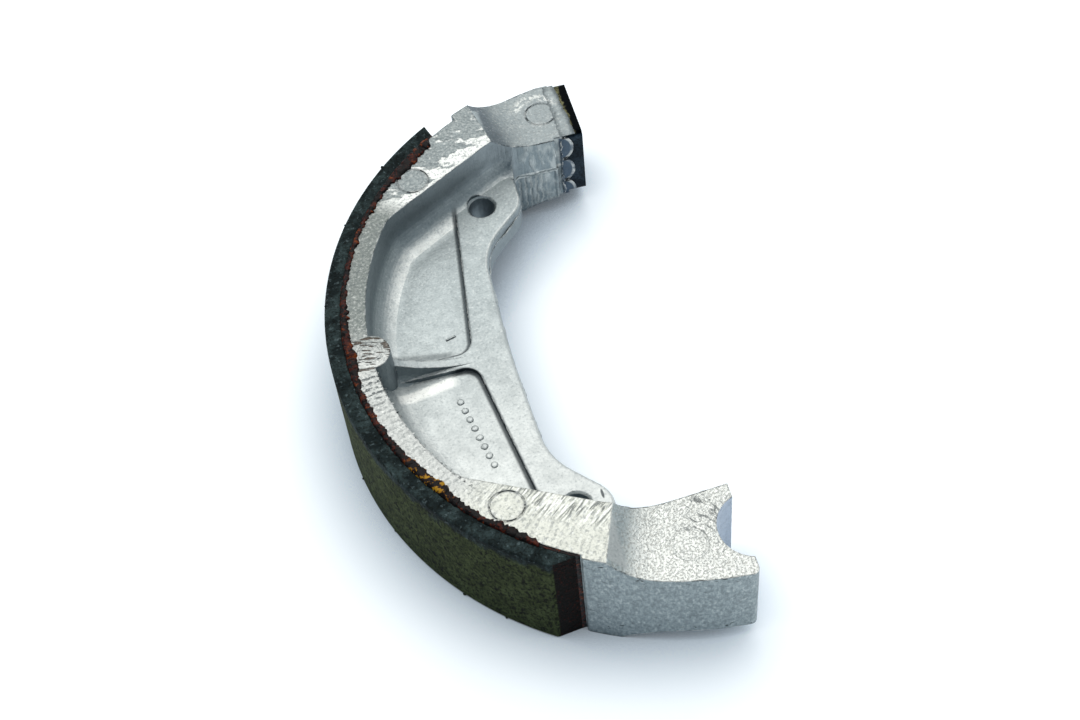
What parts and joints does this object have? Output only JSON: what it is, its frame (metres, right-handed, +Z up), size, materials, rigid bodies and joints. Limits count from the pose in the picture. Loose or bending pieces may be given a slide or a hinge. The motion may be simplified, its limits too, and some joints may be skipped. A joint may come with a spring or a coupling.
{
  "type": "drum brake shoe",
  "caption": "Cast aluminium brake shoe with a curved bonded friction lining, a rounded notch for the anchor pin and a flat steel wear plate at its cam end.",
  "frame": {"origin": "on the brake drum's axis, in the plane of the shoe's lower side face", "axes": "+X through the middle of the lining, +Y towards the anchor pin end, +Z up along the drum's axis"},
  "size_m": [0.0617, 0.1236, 0.0244],
  "materials": {
    "cast_aluminium": "die cast, bright and fine grained, with rough filed side faces",
    "friction_compound": "ground, dark olive green rubbing face with dark and pale specks",
    "bonding_glue": "baked, red brown to amber, uneven",
    "plate_steel": "dark hardened steel with a smooth satin face"
  },
  "bodies": {
    "root": {"shoe_casting": "cast_aluminium", "friction_lining": "friction_compound", "adhesive_layer": "bonding_glue", "cam_wear_plate": "plate_steel"}
  },
  "joints": []
}
